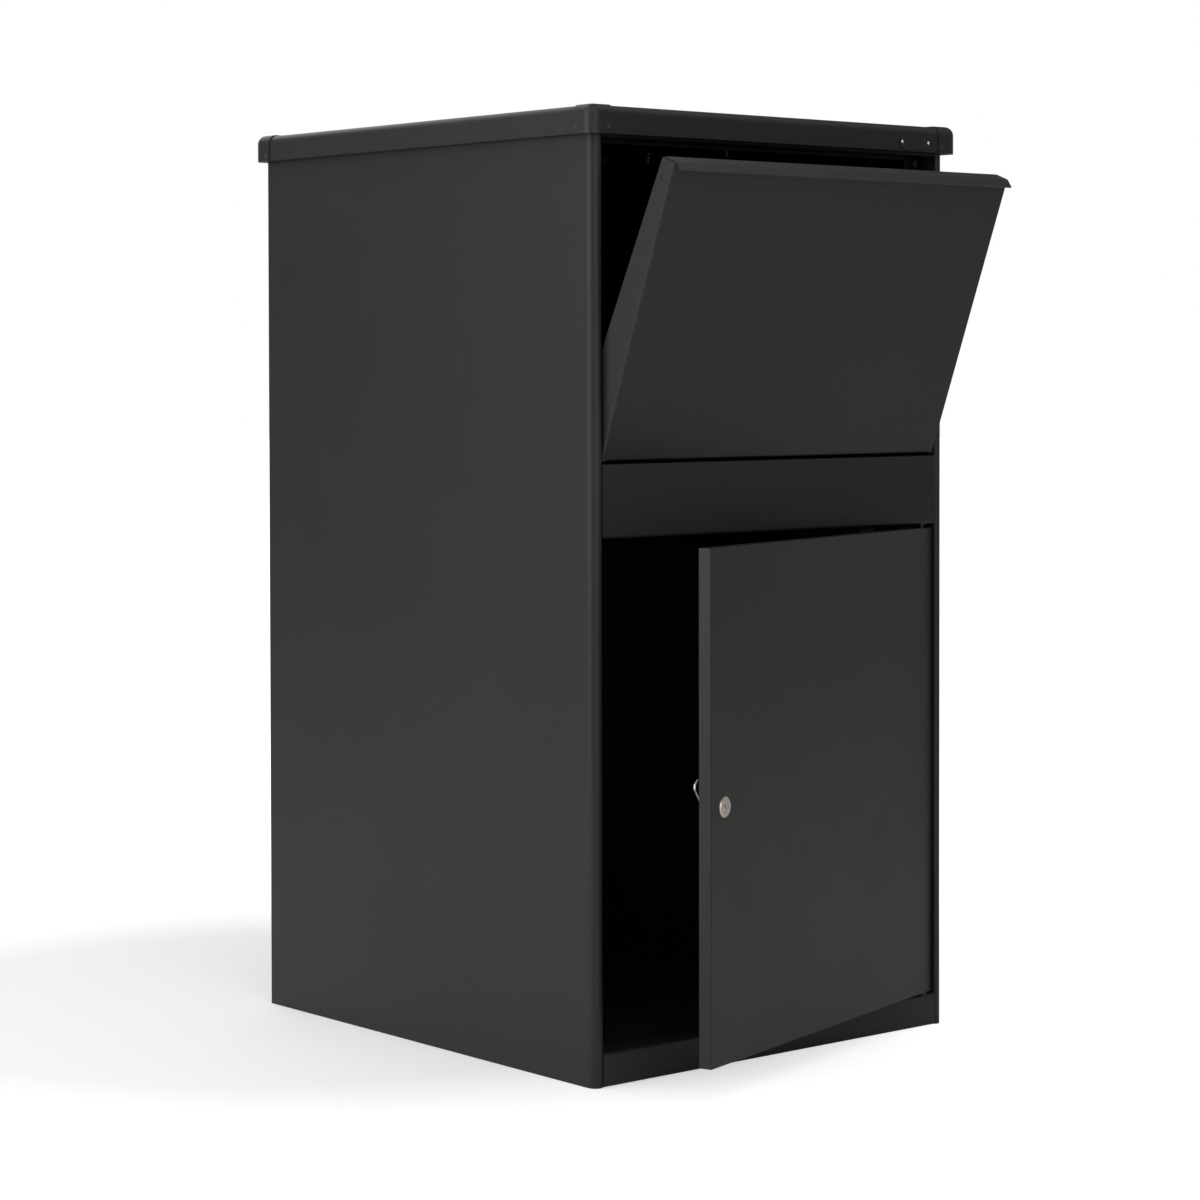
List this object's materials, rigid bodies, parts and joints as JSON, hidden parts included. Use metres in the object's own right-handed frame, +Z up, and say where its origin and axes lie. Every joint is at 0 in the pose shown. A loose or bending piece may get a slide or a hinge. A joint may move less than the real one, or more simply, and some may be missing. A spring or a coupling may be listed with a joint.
{
  "type": "parcel drop box",
  "caption": "Freestanding sheet-steel parcel drop box with a bottom-hinged drop flap and hopper tray over a side-hinged, cam-locked collection door.",
  "frame": {"origin": "on the ground under the centre of the cabinet body", "axes": "+Z up, front with flap and door towards -Y, width along X"},
  "size_m": [0.5496, 0.7529, 1.0307],
  "materials": {
    "cabinet_paint": "anthracite powder coat with a fine texture",
    "inner_paint": "anthracite powder coat, thinner inside",
    "zinc_plated": "bright zinc plate",
    "nickel_plated": "satin nickel plate",
    "nylon": "black nylon",
    "rubber": "black rubber",
    "nameplate": "blank black plate with a raised edge",
    "nameplate_rivets": "bright aluminium",
    "blackened_steel": "blackened steel"
  },
  "bodies": {
    "cabinet": {"left_side_panel": "cabinet_paint", "right_side_panel": "cabinet_paint", "rear_panel": "cabinet_paint", "floor_pan": "cabinet_paint", "floor_mat": "rubber", "plinth_panel": "cabinet_paint", "fascia_panel": "cabinet_paint", "header_rail": "inner_paint", "roof_panel": "cabinet_paint", "roof_rail_left": "inner_paint", "roof_rail_right": "inner_paint", "roof_cap_front_left": "cabinet_paint", "roof_cap_front_right": "cabinet_paint", "roof_cap_rear_left": "cabinet_paint", "roof_cap_rear_right": "cabinet_paint", "roof_cap_rivets": "cabinet_paint", "roof_studs": "zinc_plated", "roof_nuts": "zinc_plated", "nameplate": "nameplate", "nameplate_rivets": "nameplate_rivets", "rail_rivets": "cabinet_paint", "rear_rivets": "cabinet_paint", "floor_rivets": "cabinet_paint", "member_rivets": "zinc_plated", "baffle_plate": "inner_paint", "baffle_rivets": "cabinet_paint", "flap_stop_left": "inner_paint", "flap_stop_right": "inner_paint", "flap_stop_rivets": "cabinet_paint", "flap_stop_pads": "rubber", "header_pads": "rubber", "flap_bushes": "nylon", "door_bushes": "nylon", "door_stops": "inner_paint", "door_stop_rivets": "zinc_plated", "door_stop_pads": "rubber", "lock_keeper": "zinc_plated"},
    "flap": {"flap_panel": "cabinet_paint", "flap_lip": "cabinet_paint", "flap_lip_screws": "blackened_steel", "flap_tray": "inner_paint", "flap_tray_rivets": "zinc_plated", "flap_pins": "zinc_plated"},
    "door": {"door_skin": "cabinet_paint", "door_stiffener": "inner_paint", "door_pins": "blackened_steel", "lock_housing": "nickel_plated", "lock_nut": "nickel_plated"},
    "lock": {"lock_plug": "nickel_plated", "lock_cam": "zinc_plated", "lock_cam_screw": "zinc_plated"}
  },
  "joints": [
    {"name": "flap_hinge", "type": "hinge", "parent": "cabinet", "child": "flap", "pos_m": [0, -0.292, 0.6684], "axis": [1, 0, 0], "range_deg": [-20.8, 24.2]},
    {"name": "door_hinge", "type": "hinge", "parent": "cabinet", "child": "door", "pos_m": [0.2342, -0.292, 0.3], "axis": [0, 0, 1], "range_deg": [-17.1, 77.9]},
    {"name": "lock_turn", "type": "hinge", "parent": "door", "child": "lock", "pos_m": [-0.19963, -0.43331, 0.3055], "axis": [0.294, -0.9558, 0], "range_deg": [-38, 52]}
  ]
}
